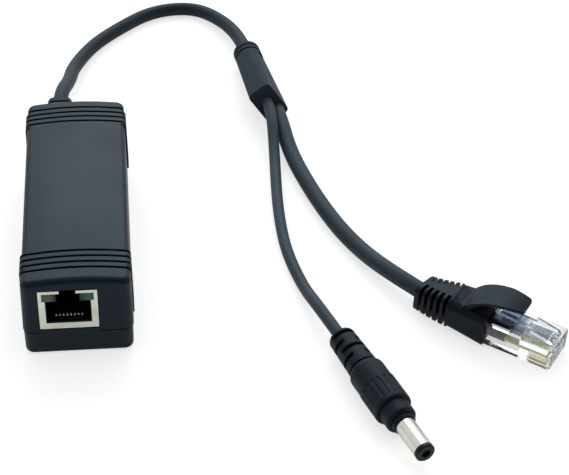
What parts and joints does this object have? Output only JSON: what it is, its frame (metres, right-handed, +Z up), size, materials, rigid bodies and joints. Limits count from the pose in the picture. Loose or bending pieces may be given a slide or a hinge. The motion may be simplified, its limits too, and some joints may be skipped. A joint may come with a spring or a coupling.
{
  "type": "power over ethernet splitter",
  "caption": "Small crowned plastic case with a network jack; its rear cord divides at a moulded junction into a barrel power plug and a modular network plug.",
  "frame": {"origin": "middle of the case's underside, on the surface that it stands on", "axes": "+X right seen from the jack face, +Y from the jack face to the cord end along the case, +Z up"},
  "size_m": [0.15, 0.236, 0.0255],
  "materials": {
    "case_plastic": "fine matt texture",
    "jack_plastic": "matt",
    "cord_plastic": "satin",
    "component_plastic": "matt",
    "tinned_sheet": "bright tin plate",
    "nickel": "bright nickel plate",
    "gilt": "gold flash",
    "lamp_yellow": "diffusing",
    "lamp_green": "diffusing",
    "board_laminate": "solder resist",
    "ferrite": "matt",
    "winding_tape": "taped winding",
    "capacitor_can": "printed sleeve",
    "wire_insulation": "smooth",
    "clear_plastic": "clear polycarbonate"
  },
  "bodies": {
    "root": {"top_cover": "case_plastic", "bottom_cover": "case_plastic", "circuit_board": "board_laminate", "jack_shield": "tinned_sheet", "jack_housing": "jack_plastic", "jack_contacts": "gilt", "jack_lamp_left": "lamp_yellow", "jack_lamp_right": "lamp_green", "lan_transformer": "component_plastic", "bridge_rectifiers": "component_plastic", "transformer_core": "ferrite", "transformer_coil": "winding_tape", "controller_chip": "component_plastic", "feedback_coupler": "component_plastic", "output_diode": "component_plastic", "input_capacitor": "capacitor_can", "output_capacitor": "capacitor_can", "filter_inductor": "ferrite", "lead_wires": "wire_insulation", "cord_grommet": "cord_plastic", "main_cord": "cord_plastic", "y_junction": "cord_plastic", "power_cord": "cord_plastic", "network_cord": "cord_plastic", "power_plug_grip": "cord_plastic", "power_plug_barrel": "nickel", "power_plug_insulator": "jack_plastic", "power_plug_spring": "gilt", "network_plug_boot": "cord_plastic", "network_plug_body": "clear_plastic", "network_plug_contacts": "gilt", "network_plug_wires": "wire_insulation", "network_plug_jacket": "cord_plastic"}
  },
  "joints": []
}
